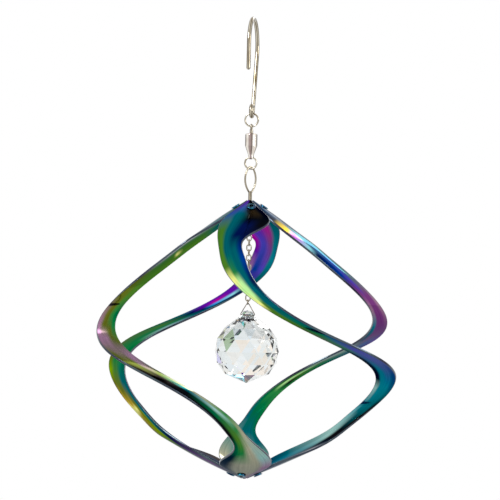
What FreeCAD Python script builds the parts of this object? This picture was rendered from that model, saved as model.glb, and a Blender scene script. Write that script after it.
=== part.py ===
import FreeCAD, Part

import math
import os

# Hanging wind spinner: a wire hook, a ball-bearing swivel, a cage of four twisted
# steel blades and a faceted crystal ball on a fine chain inside the cage.
# Millimetres, +Z up.  The origin is the highest point of the inside of the hook,
# where a nail or a branch carries the whole spinner.

# ---------------------------------------------------------------- driving sizes
# Hook
hook_wire = 1.9
hook_arch_radius = 12.5
hook_free_leg = 11.2
hook_eye_height = -41.9
hook_eye_radius = 2.5
hook_eye_turn = 285.0

# Split rings above and below the swivel
ring_wire = 0.8
upper_ring_radius = 3.05
lower_ring_radius = 2.75

# Swivel
swivel_eye_wire = 0.9
swivel_eye_radius = 1.15
shaft_diameter = 1.6
shaft_show = 1.9
barrel_diameter = 5.7
barrel_length = 5.8
barrel_shoulder = 0.7
barrel_shoulder_round = 0.21
barrel_wall = 0.7
taper_length = 4.2
neck_diameter = 2.6
neck_length = 2.0
neck_chamfer = 0.45
neck_hole_drop = 1.0
neck_hole_play = 0.7
shaft_head_diameter = 3.2
shaft_head_height = 1.0
bearing_ball_diameter = 0.8
bearing_ball_count = 8
bearing_race_play = 0.15

# Hanger: a pear-shaped loop, its stem through the top hub and a small lower eye
hanger_wire = 0.85
pear_top_radius = 1.8
pear_side_radius = 8.6
pear_tangent_angle = 35.0
pear_plane_azimuth = 45.0
pear_leg_gap = 0.5
stem_diameter = 1.7
stem_show = 3.2
stem_root = 0.6
lower_eye_radius = 1.1

# Cage of blades
cage_height = 130.0
cage_radius = 83.5
blade_band = 11.8
blade_thickness = 1.0
blade_camber = 0.10
blade_count = 4
equator_share = 0.538
equator_bend = 10.0
edge_lead = 5.0
band_inset_divisor = 6.0
band_stations = 14

# The inner and outer edge of a blade: radius aimed at for the top and bottom apex,
# azimuth half-way through the sweep, where that is as a share of the cage's height,
# how far the edge sweeps to each side and over what height.
inner_edge = {
    "top_aim": 5.8,
    "bottom_aim": 13.4,
    "azimuth": -52.6,
    "share": 0.464,
    "sweep": 81.5,
    "sweep_share": 0.36,
}
outer_edge = {
    "top_aim": 4.0,
    "bottom_aim": 16.0,
    "azimuth": -42.0,
    "share": 0.507,
    "sweep": 42.8,
    "sweep_share": 0.207,
}

# The four blade tips meet in a low cone at each end of the cage
top_tip_azimuth = -88.0
bottom_tip_azimuth = 10.0
top_tip_slope = 41.0
bottom_tip_slope = 33.0
tip_corner_radius = 15.0
tip_start_radius = 1.0
tip_hole_diameter = 3.4
tip_hole_distance = 6.2
tip_hole_shift = 13.0
seam_gap = 0.16
seam_overlap = 0.6
seam_block_width = 6.0
cut_margin = 3.0
stem_gap = 0.12
stem_fit = 0.02

# Hubs and tubular rivets
hub_radius = 9.3
hub_foot = 0.8
hub_gap = 0.12
rivet_wall = 0.75
rivet_rim_lip = 0.45
rivet_rim_height = 0.45
rivet_rim_round = 0.27
rivet_depth = 1.6
rivet_gap = 0.05
rivet_rim_seat = 0.15
rivet_floor = 0.5

# Chain, end ring and bail
chain_wire = 0.55
link_half_length = 1.49
link_half_width = 1.025
chain_link_count = 16
end_ring_wire = 0.5
end_ring_radius = 1.1
bail_wire = 0.4
bail_height = 5.6
bail_half_width = 3.6
bail_top_radius = 0.7
bail_corner_radius = 0.5

# Crystal
crystal_radius = 15.0
crystal_facets_around = 12
crystal_bands = 8
crystal_lowest_band = 2
shoulder_radius = 4.0
shoulder_height = 15.6
shoulder_crown = 0.5
knob_radius = 3.3
knob_top = 18.9
knob_root_height = 12.0
knob_root_radius = 2.97
knob_waist_radius = 2.805
knob_crown_radius = 2.244
knob_crown_drop = 0.7
knob_hole_play = 0.6
knob_hole_height = 16.3

# Running gap where one wire hangs in another
wire_gap = 0.1

# ---------------------------------------------------------------- derived sizes
neck_hole_diameter = ring_wire + neck_hole_play
rivet_rim_diameter = tip_hole_diameter + 2 * rivet_rim_lip
rivet_bore = tip_hole_diameter - 2 * (rivet_gap + rivet_wall)
knob_hole_diameter = bail_wire + knob_hole_play

# ------------------------------------------------------------- derived heights
hook_eye_floor = hook_eye_height - hook_eye_radius + hook_wire / 2
upper_ring_top = hook_eye_floor + ring_wire / 2 + wire_gap
upper_ring_height = upper_ring_top - upper_ring_radius
upper_ring_floor = upper_ring_height - upper_ring_radius + ring_wire / 2
swivel_eye_height = upper_ring_floor + wire_gap + swivel_eye_wire / 2 - swivel_eye_radius
shaft_top = swivel_eye_height - swivel_eye_radius
barrel_top = shaft_top - shaft_show
taper_top = barrel_top - barrel_length
neck_top = taper_top - taper_length
neck_bottom = neck_top - neck_length
lower_ring_top = neck_top - neck_hole_drop
lower_ring_height = lower_ring_top - lower_ring_radius
lower_ring_floor = lower_ring_height - lower_ring_radius + ring_wire / 2
pear_top = lower_ring_floor + hanger_wire / 2 + wire_gap
pear_height = pear_top - pear_top_radius
pear_side_reach = pear_side_radius - pear_top_radius
pear_side_centre_x = -pear_side_reach * math.cos(math.radians(pear_tangent_angle))
pear_side_centre_z = pear_height - pear_side_reach * math.sin(math.radians(pear_tangent_angle))
pear_foot_angle = -math.acos((pear_leg_gap - pear_side_centre_x) / pear_side_radius)
pear_foot = pear_side_centre_z + pear_side_radius * math.sin(pear_foot_angle)

# The cage's apex lies just under the foot of the pear loop.
cage_top = pear_foot - stem_show
cage_bottom = cage_top - cage_height
tips = {
    "top": {"azimuth": top_tip_azimuth, "apex": cage_top, "inward": -1, "slope": top_tip_slope},
    "bottom": {"azimuth": bottom_tip_azimuth, "apex": cage_bottom, "inward": 1, "slope": bottom_tip_slope},
}
for tip in tips.values():
    # The middle of a cambered tip falls away less steeply than its flat chord.
    flat = math.radians(tip["slope"])
    bulge = 2 * blade_camber
    fall = math.sin(flat) - bulge * math.cos(flat) * math.cos(flat)
    run = math.cos(flat) + bulge * math.sin(flat) * math.cos(flat)
    tip["fall"] = math.tan(flat)
    tip["middle"] = math.atan2(fall, run)
    seat = (blade_thickness / 2 + hub_gap) / math.cos(tip["middle"])
    tip["hub_peak"] = tip["apex"] + tip["inward"] * seat
    tip["hub_shoulder"] = tip["hub_peak"] + tip["inward"] * hub_radius * math.tan(tip["middle"])
    tip["hub_foot"] = tip["hub_shoulder"] + tip["inward"] * hub_foot

lower_eye_height = tips["top"]["hub_foot"] - wire_gap - hanger_wire / 2 - lower_eye_radius
lower_eye_floor = lower_eye_height - lower_eye_radius + hanger_wire / 2
link_pitch = 2 * link_half_length - chain_wire - wire_gap
first_link_height = lower_eye_floor + wire_gap + chain_wire / 2 - link_half_length
last_link_height = first_link_height - (chain_link_count - 1) * link_pitch
last_link_floor = last_link_height - link_half_length + chain_wire / 2
end_ring_height = last_link_floor + wire_gap + end_ring_wire / 2 - end_ring_radius
end_ring_floor = end_ring_height - end_ring_radius + end_ring_wire / 2
bail_top = end_ring_floor + wire_gap + bail_wire / 2
bail_pin_height = bail_top - bail_height
crystal_height = bail_pin_height - (knob_hole_diameter - bail_wire) / 2 + wire_gap - knob_hole_height

UP = FreeCAD.Vector(0, 0, 1)
ORIGIN = FreeCAD.Vector(0, 0, 0)


# ---------------------------------------------------------------------- helpers
def point(radius, azimuth, height):
    """A point in cylindrical coordinates, with the azimuth in degrees from +X."""
    angle = math.radians(azimuth)
    return FreeCAD.Vector(radius * math.cos(angle), radius * math.sin(angle), height)


def arc(centre, radius, start, end, plane=0.0):
    """An arc in an upright plane through the Z axis; angles in degrees from the horizontal."""
    def at(angle):
        turned = math.radians(angle)
        across = centre[0] + radius * math.cos(turned)
        return point(across, plane, centre[1] + radius * math.sin(turned))
    return Part.Arc(at(start), at((start + end) / 2), at(end)).toShape()


def wire_along(edges, diameter):
    """Round wire swept along edges that join tangentially."""
    path = Part.Wire(edges)
    start = path.OrderedEdges[0]
    first = start.firstVertex(True).Point
    tangent = start.tangentAt(start.FirstParameter)
    if start.Orientation == "Reversed":
        tangent = start.tangentAt(start.LastParameter).negative()
    section = Part.Wire([Part.makeCircle(diameter / 2, first, tangent)])
    return path.makePipeShell([section], True, False)


def ring(radius, diameter, height, plane):
    """A closed wire ring standing in an upright plane at the given azimuth."""
    normal = point(1, plane + 90, 0)
    return Part.makeTorus(radius, diameter / 2, FreeCAD.Vector(0, 0, height), normal)


def rod(diameter, bottom, top):
    """A round upright bar on the Z axis."""
    return Part.makeCylinder(diameter / 2, top - bottom, FreeCAD.Vector(0, 0, bottom))


def turned(profile):
    """A turned part from its half profile of (radius, height) pairs."""
    corners = [FreeCAD.Vector(radius, 0, height) for radius, height in profile]
    outline = Part.makePolygon(corners + [corners[0]])
    return Part.Face(outline).revolve(ORIGIN, UP, 360)


def save(name, shape):
    """Write one sub-part and report its size."""
    solids = shape.Solids
    if not solids or not all(solid.isValid() for solid in solids):
        raise ValueError(name + " is not a valid solid")
    keep = solids[0] if len(solids) == 1 else Part.makeCompound(solids)
    keep.exportStep(os.path.join("parts", name + ".step"))
    print(f"{name:24s} solids {len(solids)} volume {keep.Volume:9.3f}")


# ------------------------------------------------------------------------- hook
def make_hook():
    """A question-mark hook in the YZ plane: free leg, arch, slanted shank and eye."""
    plane = 90.0
    arch_height = hook_wire / 2 - hook_arch_radius
    drop = arch_height - hook_eye_height
    lean = math.degrees(math.asin((hook_arch_radius - hook_eye_radius) / drop))
    arch = (0.0, arch_height)
    eye = (0.0, hook_eye_height)
    free_leg = Part.makeLine(
        point(-hook_arch_radius, plane, arch_height - hook_free_leg),
        point(-hook_arch_radius, plane, arch_height),
    )
    bend = arc(arch, hook_arch_radius, 180, -lean, plane)
    loop = arc(eye, hook_eye_radius, -lean, -lean - hook_eye_turn, plane)
    shank = Part.makeLine(bend.Vertexes[-1].Point, loop.Vertexes[0].Point)
    body = wire_along([free_leg, bend, shank, loop], hook_wire)
    rounded_end = Part.makeSphere(hook_wire / 2, free_leg.Vertexes[0].Point)
    return body.fuse(rounded_end).removeSplitter()


# ---------------------------------------------------------------------- swivel
def make_swivel_eye():
    """The upper eye, its shaft and the head that turns inside the barrel."""
    head_top = barrel_top - barrel_wall - bearing_ball_diameter - 2 * wire_gap
    eye = ring(swivel_eye_radius, swivel_eye_wire, swivel_eye_height, 90.0)
    shaft = rod(shaft_diameter, head_top - shaft_head_height / 2, shaft_top)
    head = rod(shaft_head_diameter, head_top - shaft_head_height, head_top)
    return eye.fuse(shaft).fuse(head)


def make_swivel_barrel():
    """The turned housing: a rounded shoulder, a barrel, a taper and a drilled neck."""
    outer = barrel_diameter / 2
    inner = outer - barrel_wall
    mouth = shaft_diameter / 2 + wire_gap
    floor = taper_top + barrel_wall
    roof = barrel_top - barrel_wall
    profile = [
        (mouth, barrel_top),
        (outer - barrel_shoulder, barrel_top),
        (outer - barrel_shoulder_round, barrel_top - barrel_shoulder_round),
        (outer, barrel_top - barrel_shoulder),
        (outer, taper_top),
        (neck_diameter / 2, neck_top),
        (neck_diameter / 2, neck_bottom + neck_chamfer),
        (neck_diameter / 2 - neck_chamfer, neck_bottom),
        (0, neck_bottom),
        (0, floor),
        (inner, floor),
        (inner, roof),
        (mouth, roof),
    ]
    start = FreeCAD.Vector(-neck_diameter, 0, lower_ring_top)
    hole = Part.makeCylinder(neck_hole_diameter / 2, 2 * neck_diameter, start, FreeCAD.Vector(1, 0, 0))
    return turned(profile).cut(hole)


def make_bearing_balls():
    """The ring of loose balls between the shaft's head and the barrel's roof."""
    height = barrel_top - barrel_wall - wire_gap - bearing_ball_diameter / 2
    race = shaft_head_diameter / 2 - bearing_ball_diameter / 2 + bearing_race_play
    balls = []
    for index in range(bearing_ball_count):
        centre = point(race, index * 360 / bearing_ball_count, height)
        balls.append(Part.makeSphere(bearing_ball_diameter / 2, centre))
    return Part.makeCompound(balls)


# ---------------------------------------------------------------------- hanger
def make_hanger():
    """The pear loop, the stem through the top hub and the eye that carries the chain."""
    plane = pear_plane_azimuth
    foot_angle = math.degrees(pear_foot_angle)
    right = (pear_side_centre_x, pear_side_centre_z)
    left = (-pear_side_centre_x, pear_side_centre_z)
    edges = [
        arc(left, pear_side_radius, 180 - foot_angle, 180 - pear_tangent_angle, plane),
        arc((0.0, pear_height), pear_top_radius, 180 - pear_tangent_angle, pear_tangent_angle, plane),
        arc(right, pear_side_radius, pear_tangent_angle, foot_angle, plane),
    ]
    loop = wire_along(edges, hanger_wire)
    stem = rod(stem_diameter, lower_eye_height + lower_eye_radius, pear_foot + stem_root)
    eye = ring(lower_eye_radius, hanger_wire, lower_eye_height, 0.0)
    return loop.fuse(stem).fuse(eye)


# ---------------------------------------------------------------------- blades
def edge_radius(edge, peak, height):
    """Radius of a blade edge at a height: two straight cones joined by a round bend."""
    level = cage_top - cage_height * equator_share
    above = height > level
    end = cage_top if above else cage_bottom
    aim = edge["top_aim"] if above else edge["bottom_aim"]
    reach = math.sqrt((peak + equator_bend - aim) ** 2 - equator_bend ** 2)
    slope = reach / abs(end - level)
    return peak + equator_bend - math.hypot(equator_bend, slope * (height - level))


def edge_point(edge, peak, height):
    """A point of a blade edge, which sweeps round fastest half-way down the cage."""
    level = cage_top - cage_height * edge["share"]
    turn = math.atan((height - level) / (cage_height * edge["sweep_share"]))
    azimuth = edge["azimuth"] - edge["sweep"] * turn
    return point(edge_radius(edge, peak, height), azimuth, height)


def edge_pair(height):
    """The inner and outer edge points of blade 1 at one station of its band."""
    middle = (cage_top + cage_bottom) / 2
    lead = edge_lead / 2 * math.sin(math.pi * (height - middle) / (cage_height / 2))
    inner = edge_point(inner_edge, cage_radius - blade_band, height - lead)
    outer = edge_point(outer_edge, cage_radius, height + lead)
    return inner, outer


def tip_pair(tip, radius):
    """A station of a tip: its two points just past the seams at each side."""
    half = math.radians(180 / blade_count)
    out = radius * math.cos(half)
    side = radius * math.sin(half) + seam_overlap
    along = point(out, tip["azimuth"], tip["apex"] + tip["inward"] * out * tip["fall"])
    across = point(side, tip["azimuth"] + 90, 0)
    pair = (along - across, along + across)
    return pair if tip["inward"] < 0 else (pair[1], pair[0])


def blade_stations():
    """Edge pairs of blade 1 from its top tip to its bottom tip."""
    tip_radii = [tip_start_radius, tip_corner_radius / 2, tip_corner_radius]
    band_start = cage_height / band_inset_divisor
    band_steps = band_stations - 1
    pairs = [tip_pair(tips["top"], radius) for radius in tip_radii]
    for step in range(band_steps + 1):
        share = step / band_steps
        pairs.append(edge_pair(cage_top - band_start - share * (cage_height - 2 * band_start)))
    pairs += [tip_pair(tips["bottom"], radius) for radius in reversed(tip_radii)]
    return pairs


def blade_faces(pairs):
    """The two faces of a blade: its cambered middle surface moved out by half its thickness."""
    last = len(pairs) - 1
    middles = [(inner + outer) / 2 for inner, outer in pairs]
    faces = []
    for side in (1, -1):
        rows = []
        for index, (inner, outer) in enumerate(pairs):
            width = outer - inner
            ahead = middles[min(index + 1, last)] - middles[max(index - 1, 0)]
            normal = ahead.cross(width).normalize()
            bulge = blade_camber * width.Length * camber_side(index / last)
            row = []
            for share in (0, 0.25, 0.5, 0.75, 1):
                rise = 4 * share * (1 - share) * bulge
                row.append(inner + width * share + normal * (rise + side * blade_thickness / 2))
            rows.append(row)
        surface = Part.BSplineSurface()
        surface.interpolate(rows)
        faces.append(surface)
    return faces


def camber_side(share):
    """Which way the section bulges: outward at both tips, so it swaps faces on the way."""
    return math.cos(math.pi * share)


def closed_sheet(faces):
    """A solid between two matching faces, closed by ruled rims."""
    first, second = faces
    skins = [first.toShape(), second.toShape()]
    u_start, u_end, v_start, v_end = first.bounds()
    for value in (u_start, u_end):
        skins.append(Part.makeRuledSurface(first.uIso(value).toShape(), second.uIso(value).toShape(), 1))
    for value in (v_start, v_end):
        skins.append(Part.makeRuledSurface(first.vIso(value).toShape(), second.vIso(value).toShape(), 1))
    shell = Part.makeShell(skins)
    shell.sewShape()
    solid = Part.makeSolid(shell)
    return solid if solid.Volume > 0 else solid.reversed()


def beyond_seam(tip, side):
    """The space past one seam of a tip, which belongs to the neighbouring blade."""
    reach = tip_corner_radius + 2 * cut_margin
    low = tip["apex"] - (reach - cut_margin if tip["inward"] < 0 else cut_margin)
    corner = FreeCAD.Vector(-cut_margin, -seam_gap / 2, low)
    block = Part.makeBox(reach, seam_block_width, reach, corner)
    if side < 0:
        block.translate(FreeCAD.Vector(0, seam_gap - seam_block_width, 0))
    block.rotate(ORIGIN, UP, tip["azimuth"] + side * 180 / blade_count)
    return block


def rivet_seat(tip):
    """The space above a blade's face that a rivet's rim needs to lie flat."""
    place, normal = tip_axis(tip)
    face = place + normal * (blade_thickness / 2 + rivet_rim_seat)
    return Part.makeCylinder(rivet_rim_diameter / 2, rivet_rim_height + cut_margin, face, normal)


def tip_axis(tip):
    """A point and the outward normal at the rivet hole of one tip."""
    inward = tip["inward"]
    azimuth = tip["azimuth"] - inward * tip_hole_shift
    place = point(tip_hole_distance, azimuth, tip["apex"] + inward * tip_hole_distance * math.tan(tip["middle"]))
    normal = point(math.sin(tip["middle"]), azimuth, -inward * math.cos(tip["middle"]))
    return place, normal


def make_blade():
    """Blade 1, with its tips trimmed along the seams, drilled and cleared round the stem."""
    blade = closed_sheet(blade_faces(blade_stations()))
    cutters = [rod(stem_diameter + 2 * stem_gap, cage_bottom - cut_margin, cage_top + cut_margin)]
    for tip in tips.values():
        cutters += [beyond_seam(tip, side) for side in (-1, 1)]
        place, normal = tip_axis(tip)
        start = place - normal * 2 * blade_thickness
        cutters.append(Part.makeCylinder(tip_hole_diameter / 2, 4 * blade_thickness, start, normal))
        cutters.append(rivet_seat(tip))
        cutters.append(hub_block(tip))
    trimmed = blade.cut(cutters)
    return max(trimmed.Solids, key=lambda solid: solid.Volume)


def around_cage(shape, index):
    """The copy of a blade or rivet that belongs to the blade with this index."""
    copy = shape.copy()
    copy.rotate(ORIGIN, UP, index * 360 / blade_count)
    return copy


# -------------------------------------------------------------- hubs and rivets
def solid_from_polygons(polygons):
    """A solid bounded by flat polygons."""
    faces = [Part.Face(Part.makePolygon(corners + [corners[0]])) for corners in polygons]
    shell = Part.makeShell(faces)
    shell.sewShape()
    solid = Part.makeSolid(shell)
    return solid if solid.Volume > 0 else solid.reversed()


def make_rivet(tip):
    """A tubular rivet: a rolled rim on the blade's face and a hollow shank into the hub."""
    place, normal = tip_axis(tip)
    face = place + normal * (blade_thickness / 2 + rivet_rim_seat)
    shank_radius = tip_hole_diameter / 2 - rivet_gap
    shank_length = blade_thickness + rivet_rim_seat + rivet_depth
    rim = Part.makeCylinder(rivet_rim_diameter / 2, rivet_rim_height, face, normal)
    rim = rim.makeFillet(rivet_rim_round, [rim.Edges[0]])
    shank = Part.makeCylinder(shank_radius, shank_length, face - normal * shank_length, normal)
    bore_floor = face - normal * (shank_length - rivet_floor)
    bore = Part.makeCylinder(rivet_bore / 2, shank_length + rivet_rim_height, bore_floor, normal)
    return rim.fuse(shank).cut(bore)


def hub_block(tip):
    """A turned cone that backs the four tips."""
    return turned([
        (0, tip["hub_peak"]),
        (hub_radius, tip["hub_shoulder"]),
        (hub_radius, tip["hub_foot"]),
        (0, tip["hub_foot"]),
    ])


def make_hub(tip, bored):
    """The hub with a hole for each rivet, and one for the stem if it is bored."""
    place, normal = tip_axis(tip)
    depth = blade_thickness / 2 + rivet_depth + rivet_gap
    start = place - normal * depth
    hole = Part.makeCylinder(tip_hole_diameter / 2, depth + cut_margin, start, normal)
    holes = [around_cage(hole, index) for index in range(blade_count)]
    if bored:
        holes.append(rod(stem_diameter + 2 * stem_fit, tip["hub_foot"] - 1, tip["hub_peak"] + 1))
    return hub_block(tip).cut(holes)


# -------------------------------------------------------------- chain and bail
def make_link(height, plane):
    """One oval cable-chain link standing in the given upright plane."""
    straight = link_half_length - link_half_width
    upper = arc((0.0, height + straight), link_half_width, 0, 180, plane)
    lower = arc((0.0, height - straight), link_half_width, 180, 360, plane)
    edges = [
        upper,
        Part.makeLine(upper.Vertexes[-1].Point, lower.Vertexes[0].Point),
        lower,
        Part.makeLine(lower.Vertexes[-1].Point, upper.Vertexes[0].Point),
    ]
    return wire_along(edges, chain_wire)


def rounded_loop(corners, radii):
    """Edges of a closed loop in the XZ plane with each corner rounded by its radius."""
    count = len(corners)
    starts = []
    arcs = []
    for index, (corner, radius) in enumerate(zip(corners, radii)):
        back = (corners[index - 1] - corner).normalize()
        on = (corners[(index + 1) % count] - corner).normalize()
        half = back.getAngle(on) / 2
        setback = radius / math.tan(half)
        middle = (back + on).normalize() * (radius / math.sin(half) - radius)
        first = corner + back * setback
        last = corner + on * setback
        arcs.append(Part.Arc(first, corner + middle, last).toShape())
        starts.append((first, last))
    edges = []
    for index in range(count):
        edges.append(arcs[index])
        edges.append(Part.makeLine(starts[index][1], starts[(index + 1) % count][0]))
    return edges


def make_bail():
    """The thin wire triangle that hangs in the end ring and passes through the knob."""
    half_angle = math.atan(bail_half_width / bail_height)
    rise = bail_top_radius / math.sin(half_angle) - bail_top_radius
    corners = [
        FreeCAD.Vector(0, 0, bail_top + rise),
        FreeCAD.Vector(bail_half_width, 0, bail_pin_height),
        FreeCAD.Vector(-bail_half_width, 0, bail_pin_height),
    ]
    radii = [bail_top_radius, bail_corner_radius, bail_corner_radius]
    return wire_along(rounded_loop(corners, radii), bail_wire)


# --------------------------------------------------------------------- crystal
def faceted_stack(rings, count, bottom, top):
    """A solid of triangular facets through rings of (radius, height), alternate rings offset."""
    layers = []
    for index, (radius, height) in enumerate(rings):
        offset = (index % 2) * 180 / count
        layers.append([point(radius, offset + spot * 360 / count, height) for spot in range(count)])
    polygons = []
    for index in range(len(layers) - 1):
        lower = layers[index]
        upper = layers[index + 1]
        lead = index % 2
        for spot in range(count):
            after = (spot + 1) % count
            above = (spot + lead) % count
            polygons.append([lower[spot], lower[after], upper[above]])
            beyond = (above + 1) % count
            polygons.append([upper[above], lower[after], upper[beyond]])
    for spot in range(count):
        after = (spot + 1) % count
        polygons.append([layers[0][after], layers[0][spot], point(0, 0, bottom)])
        polygons.append([layers[-1][spot], layers[-1][after], point(0, 0, top)])
    return solid_from_polygons(polygons)


def make_crystal():
    """A faceted glass ball with a pointed base, whose shoulder rises to a knob cross-drilled for the bail."""
    rings = []
    for band in range(crystal_lowest_band, crystal_bands):
        latitude = math.radians(-90 + 180 * band / crystal_bands)
        radius = crystal_radius * math.cos(latitude)
        rings.append((radius, crystal_height + crystal_radius * math.sin(latitude)))
    rings[-1] = (shoulder_radius, crystal_height + shoulder_height)
    ball = faceted_stack(
        rings,
        crystal_facets_around,
        crystal_height - crystal_radius,
        crystal_height + shoulder_height + shoulder_crown,
    )
    top = crystal_height + knob_top
    knob_rings = [
        (knob_root_radius, crystal_height + knob_root_height),
        (knob_waist_radius, crystal_height + crystal_radius),
        (knob_radius, crystal_height + knob_hole_height),
        (knob_crown_radius, top - knob_crown_drop),
    ]
    knob = faceted_stack(knob_rings, crystal_facets_around // 2, crystal_height, top)
    hole_height = crystal_height + knob_hole_height
    start = FreeCAD.Vector(-2 * knob_radius, 0, hole_height)
    across = FreeCAD.Vector(1, 0, 0)
    hole = Part.makeCylinder(knob_hole_diameter / 2, 4 * knob_radius, start, across)
    return ball.fuse(knob).cut(hole)


# ------------------------------------------------------------------------ build
def build():
    """Make and save every sub-part."""
    os.makedirs("parts", exist_ok=True)
    save("hook", make_hook())
    save("upper_ring", ring(upper_ring_radius, ring_wire, upper_ring_height, 0.0))
    save("swivel_eye", make_swivel_eye())
    save("swivel_barrel", make_swivel_barrel())
    save("swivel_balls", make_bearing_balls())
    save("lower_ring", ring(lower_ring_radius, ring_wire, lower_ring_height, 0.0))
    save("hanger", make_hanger())

    blade = make_blade()
    for index in range(blade_count):
        save(f"blade_{index + 1}", around_cage(blade, index))

    for name, tip in tips.items():
        save(f"{name}_hub", make_hub(tip, name == "top"))
        rivet = make_rivet(tip)
        rivets = [around_cage(rivet, index) for index in range(blade_count)]
        save(f"{name}_rivets", Part.makeCompound(rivets))

    for index in range(chain_link_count):
        height = first_link_height - index * link_pitch
        plane = 0.0 if index % 2 else 90.0
        save(f"chain_link_{index + 1:02d}", make_link(height, plane))
    save("end_ring", ring(end_ring_radius, end_ring_wire, end_ring_height, 90.0))
    save("bail", make_bail())
    save("crystal", make_crystal())


build()
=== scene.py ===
import bpy
import numpy as np
from mathutils import Matrix


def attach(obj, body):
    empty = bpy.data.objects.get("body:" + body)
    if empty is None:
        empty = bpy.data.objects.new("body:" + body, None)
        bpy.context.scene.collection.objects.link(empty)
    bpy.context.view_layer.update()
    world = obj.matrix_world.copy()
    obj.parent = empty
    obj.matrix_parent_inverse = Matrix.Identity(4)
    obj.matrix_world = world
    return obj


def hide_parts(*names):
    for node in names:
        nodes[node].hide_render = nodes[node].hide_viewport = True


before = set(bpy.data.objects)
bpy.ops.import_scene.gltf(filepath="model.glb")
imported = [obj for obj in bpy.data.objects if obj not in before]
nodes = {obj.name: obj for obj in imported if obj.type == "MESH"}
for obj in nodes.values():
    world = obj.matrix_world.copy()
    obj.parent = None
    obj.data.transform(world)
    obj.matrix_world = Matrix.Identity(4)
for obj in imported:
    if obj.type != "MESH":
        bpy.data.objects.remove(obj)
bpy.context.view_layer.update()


# ------------------------------------------------------------------ wire hook
# The hook is one length of round spring wire, nickel plated and bent cold on a
# former into a question mark with a closed eye. It keeps the faint draw lines of
# the wire, and the plating turns a little warmer and rougher in slow patches.
def display(red, green, blue):
    """Turns a display colour of 0 to 255 into the linear colour that a shader takes."""
    value = np.array([red, green, blue]) / 255
    low = value / 12.92
    high = ((value + 0.055) / 1.055) ** 2.4
    return (*np.where(value <= 0.04045, low, high), 1.0)


def new_finish(name):
    """Makes an empty finish and returns it with its node tree and its shader."""
    finish = bpy.data.materials.new(name)
    finish.use_nodes = True
    return finish, finish.node_tree, finish.node_tree.nodes["Principled BSDF"]


def add_node(tree, kind, settings=(), inputs=()):
    """Adds a node, sets its properties, then sets or links its numbered inputs."""
    node = tree.nodes.new(kind)
    for name, value in dict(settings).items():
        setattr(node, name, value)
    for name, value in dict(inputs).items():
        if isinstance(value, bpy.types.NodeSocket):
            tree.links.new(value, node.inputs[name])
        else:
            node.inputs[name].default_value = value
    return node


def set_ramp(ramp, stops, interpolation="LINEAR"):
    """Gives a colour ramp its stops, each a place from 0 to 1 and a colour."""
    ramp.interpolation = interpolation
    while len(ramp.elements) > 1:
        ramp.elements.remove(ramp.elements[-1])
    ramp.elements[0].position = stops[0][0]
    ramp.elements[0].color = stops[0][1]
    for place, colour in stops[1:]:
        ramp.elements.new(place).color = colour


def make_polish_group():
    """A group of the marks that polishing leaves: slow haze and fine lines along Z."""
    group = bpy.data.node_groups.new("polish_marks", "ShaderNodeTree")
    face = group.interface
    face.new_socket("Vector", in_out="INPUT", socket_type="NodeSocketVector")
    face.new_socket("Haze Size", in_out="INPUT", socket_type="NodeSocketFloat")
    face.new_socket("Line Size", in_out="INPUT", socket_type="NodeSocketFloat")
    face.new_socket("Haze", in_out="OUTPUT", socket_type="NodeSocketFloat")
    face.new_socket("Lines", in_out="OUTPUT", socket_type="NodeSocketFloat")
    enter = group.nodes.new("NodeGroupInput")
    leave = group.nodes.new("NodeGroupOutput")
    slow = add_node(group, "ShaderNodeTexNoise", inputs={
        "Vector": enter.outputs["Vector"], "Scale": enter.outputs["Haze Size"], "Detail": 3.0,
    })
    spread = add_node(group, "ShaderNodeMapRange", inputs={
        "Value": slow.outputs["Fac"], "From Min": 0.32, "From Max": 0.68,
    })
    drawn = add_node(group, "ShaderNodeMapping", inputs={
        "Vector": enter.outputs["Vector"], "Scale": (1.0, 1.0, 0.06),
    })
    fine = add_node(group, "ShaderNodeTexNoise", inputs={
        "Vector": drawn.outputs["Vector"], "Scale": enter.outputs["Line Size"], "Detail": 5.0,
    })
    group.links.new(spread.outputs["Result"], leave.inputs["Haze"])
    group.links.new(fine.outputs["Fac"], leave.inputs["Lines"])
    return group


polish_marks = make_polish_group()

# Painted stand-in for a mirror image: a polished wire shows dark lines of the room, and
# these tones imitate them for the main view only. They aren't a stain on the real wire,
# they don't move with the viewer, and from the side they lie along the wire's middle.
# The direction is half of the one that points right in the main view.
half_right_in_view = (0.494, 0.078, 0.0)
painted_lines = [
    (0.02, display(112, 100, 82)), (0.15, display(70, 58, 44)), (0.24, display(236, 232, 220)),
    (0.40, display(255, 253, 248)), (0.48, display(128, 116, 94)), (0.60, display(84, 72, 54)),
    (0.68, display(226, 220, 206)), (0.78, display(246, 242, 232)), (0.87, display(70, 58, 44)),
    (0.98, display(120, 108, 88)),
]


def make_line_group():
    """A group that reads how far right a surface faces in the main view, and the painted tone there."""
    group = bpy.data.node_groups.new("painted_mirror_lines", "ShaderNodeTree")
    face = group.interface
    face.new_socket("Facing", in_out="INPUT", socket_type="NodeSocketVector")
    face.new_socket("Across", in_out="OUTPUT", socket_type="NodeSocketFloat")
    face.new_socket("Tone", in_out="OUTPUT", socket_type="NodeSocketColor")
    enter = group.nodes.new("NodeGroupInput")
    leave = group.nodes.new("NodeGroupOutput")
    sides = add_node(group, "ShaderNodeVectorMath", settings={"operation": "DOT_PRODUCT"}, inputs={
        0: enter.outputs["Facing"], 1: half_right_in_view,
    })
    turned = add_node(group, "ShaderNodeMath", settings={"operation": "ADD"}, inputs={
        0: sides.outputs["Value"], 1: 0.5,
    })
    lines = add_node(group, "ShaderNodeValToRGB", inputs={"Fac": turned.outputs["Value"]})
    set_ramp(lines.color_ramp, painted_lines)
    group.links.new(turned.outputs["Value"], leave.inputs["Across"])
    group.links.new(lines.outputs["Color"], leave.inputs["Tone"])
    return group


mirror_lines = make_line_group()
paint_over = {"data_type": "RGBA", "blend_type": "MULTIPLY"}


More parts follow.
